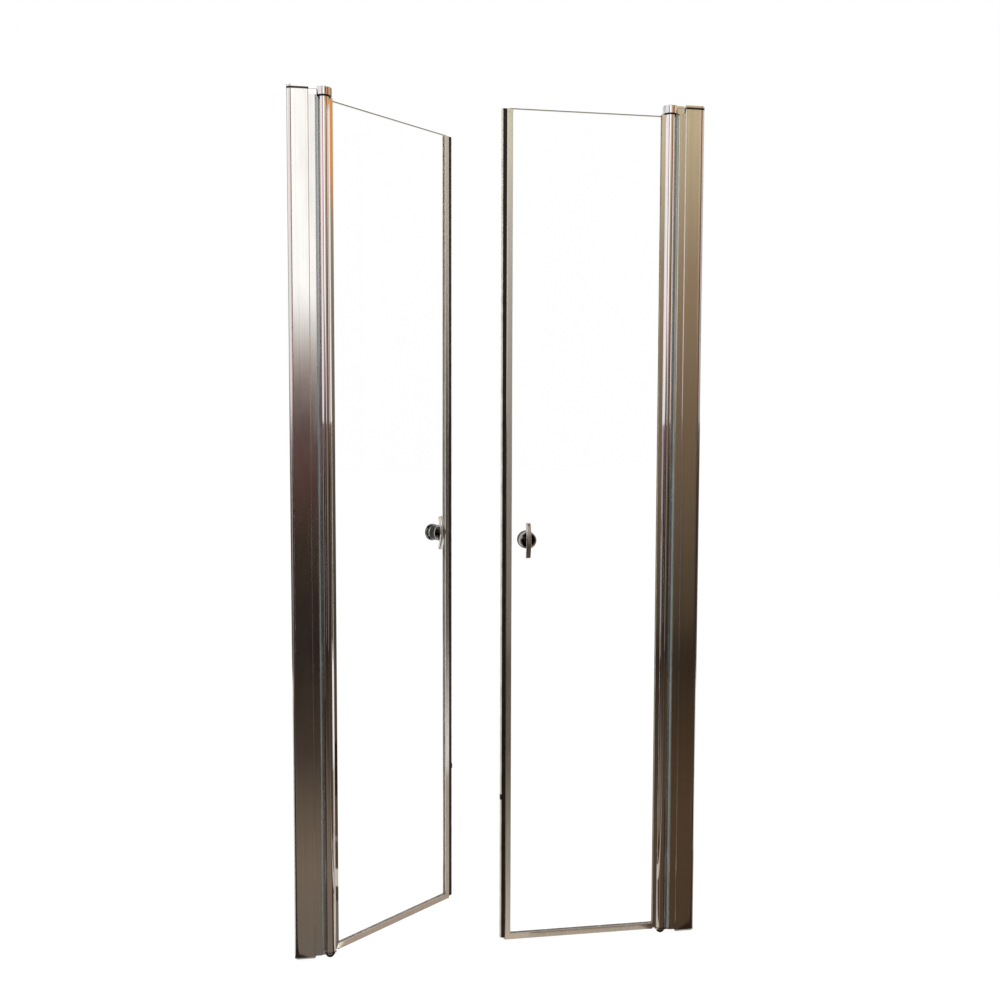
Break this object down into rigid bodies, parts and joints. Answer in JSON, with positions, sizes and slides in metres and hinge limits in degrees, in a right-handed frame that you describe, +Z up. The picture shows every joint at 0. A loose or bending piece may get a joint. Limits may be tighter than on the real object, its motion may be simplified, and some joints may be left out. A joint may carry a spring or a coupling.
{
  "type": "pivot shower door",
  "caption": "Saloon-style pivot shower door for a wall-to-wall niche: clear glass leaves on chrome hinge tubes, telescopic wall jambs, dished pull knobs and black magnetic edge strips.",
  "frame": {"origin": "on the floor, midway between the niche's two walls, in the plane of the two pivot axes", "axes": "+X along the opening from the left wall to the right wall, +Y into the shower, +Z up"},
  "size_m": [0.9, 0.2705, 1.858],
  "materials": {
    "bright_aluminium": "bright anodised, fine vertical draw lines",
    "satin_aluminium": "satin anodised, warm grey",
    "chrome": "polished chrome plate",
    "brushed_steel": "satin brushed",
    "steel": "plain stainless steel",
    "glass": "clear toughened safety glass",
    "clear_seal": "clear soft plastic",
    "black_plastic": "black, slightly glossy",
    "grey_plastic": "moulded, fine grain",
    "pale_rubber": "extruded, satin"
  },
  "bodies": {
    "wall_frame": {"left_wall_profile": "bright_aluminium", "left_wall_top_cap": "chrome", "left_wall_bottom_cap": "grey_plastic", "left_clamp_screws": "steel", "left_clamp_nuts": "steel", "right_wall_profile": "bright_aluminium", "right_wall_top_cap": "chrome", "right_wall_bottom_cap": "grey_plastic", "right_clamp_screws": "steel", "right_clamp_nuts": "steel"},
    "left_jamb": {"left_jamb_profile": "bright_aluminium", "left_top_bracket": "chrome", "left_bottom_bracket": "chrome", "left_domed_foot": "chrome", "left_pivot_pins": "steel", "left_bracket_screws": "steel", "left_thrust_washers": "black_plastic", "left_jamb_seal": "clear_seal"},
    "right_jamb": {"right_jamb_profile": "bright_aluminium", "right_top_bracket": "chrome", "right_bottom_bracket": "chrome", "right_domed_foot": "chrome", "right_pivot_pins": "steel", "right_bracket_screws": "steel", "right_thrust_washers": "black_plastic", "right_jamb_seal": "clear_seal"},
    "left_leaf": {"left_hinge_profile": "chrome", "left_hinge_bushes": "black_plastic", "left_channel_caps": "grey_plastic", "left_glass_panel": "glass", "left_glazing_gaskets": "clear_seal", "left_free_edge_profile": "satin_aluminium", "left_bottom_rail": "satin_aluminium", "left_corner_screw": "steel", "left_magnet_strip": "black_plastic", "left_edge_lip": "pale_rubber", "left_edge_plug": "black_plastic", "left_knob_barrel": "chrome", "left_knob_bar": "brushed_steel", "left_knob_stud": "steel", "left_knob_nut": "chrome", "left_knob_grommets": "clear_seal"},
    "right_leaf": {"right_hinge_profile": "chrome", "right_hinge_bushes": "black_plastic", "right_channel_caps": "grey_plastic", "right_glass_panel": "glass", "right_glazing_gaskets": "clear_seal", "right_free_edge_profile": "satin_aluminium", "right_bottom_rail": "satin_aluminium", "right_corner_screw": "steel", "right_magnet_strip": "black_plastic", "right_edge_lip": "pale_rubber", "right_edge_plug": "black_plastic", "right_knob_barrel": "chrome", "right_knob_bar": "brushed_steel", "right_knob_stud": "steel", "right_knob_nut": "chrome", "right_knob_grommets": "clear_seal"}
  },
  "joints": [
    {"name": "left_jamb_slide", "type": "slide", "parent": "wall_frame", "child": "left_jamb", "axis": [1, 0, 0], "range_m": [-0.015, 0]},
    {"name": "right_jamb_slide", "type": "slide", "parent": "wall_frame", "child": "right_jamb", "axis": [1, 0, 0], "range_m": [0, 0.015]},
    {"name": "left_leaf_pivot", "type": "hinge", "parent": "left_jamb", "child": "left_leaf", "pos_m": [-0.374, 0, 0.9], "axis": [0, 0, 1], "range_deg": [-128.8, 51.2]},
    {"name": "right_leaf_pivot", "type": "hinge", "parent": "right_jamb", "child": "right_leaf", "pos_m": [0.374, 0, 0.9], "axis": [0, 0, 1], "range_deg": [-90, 90]}
  ]
}
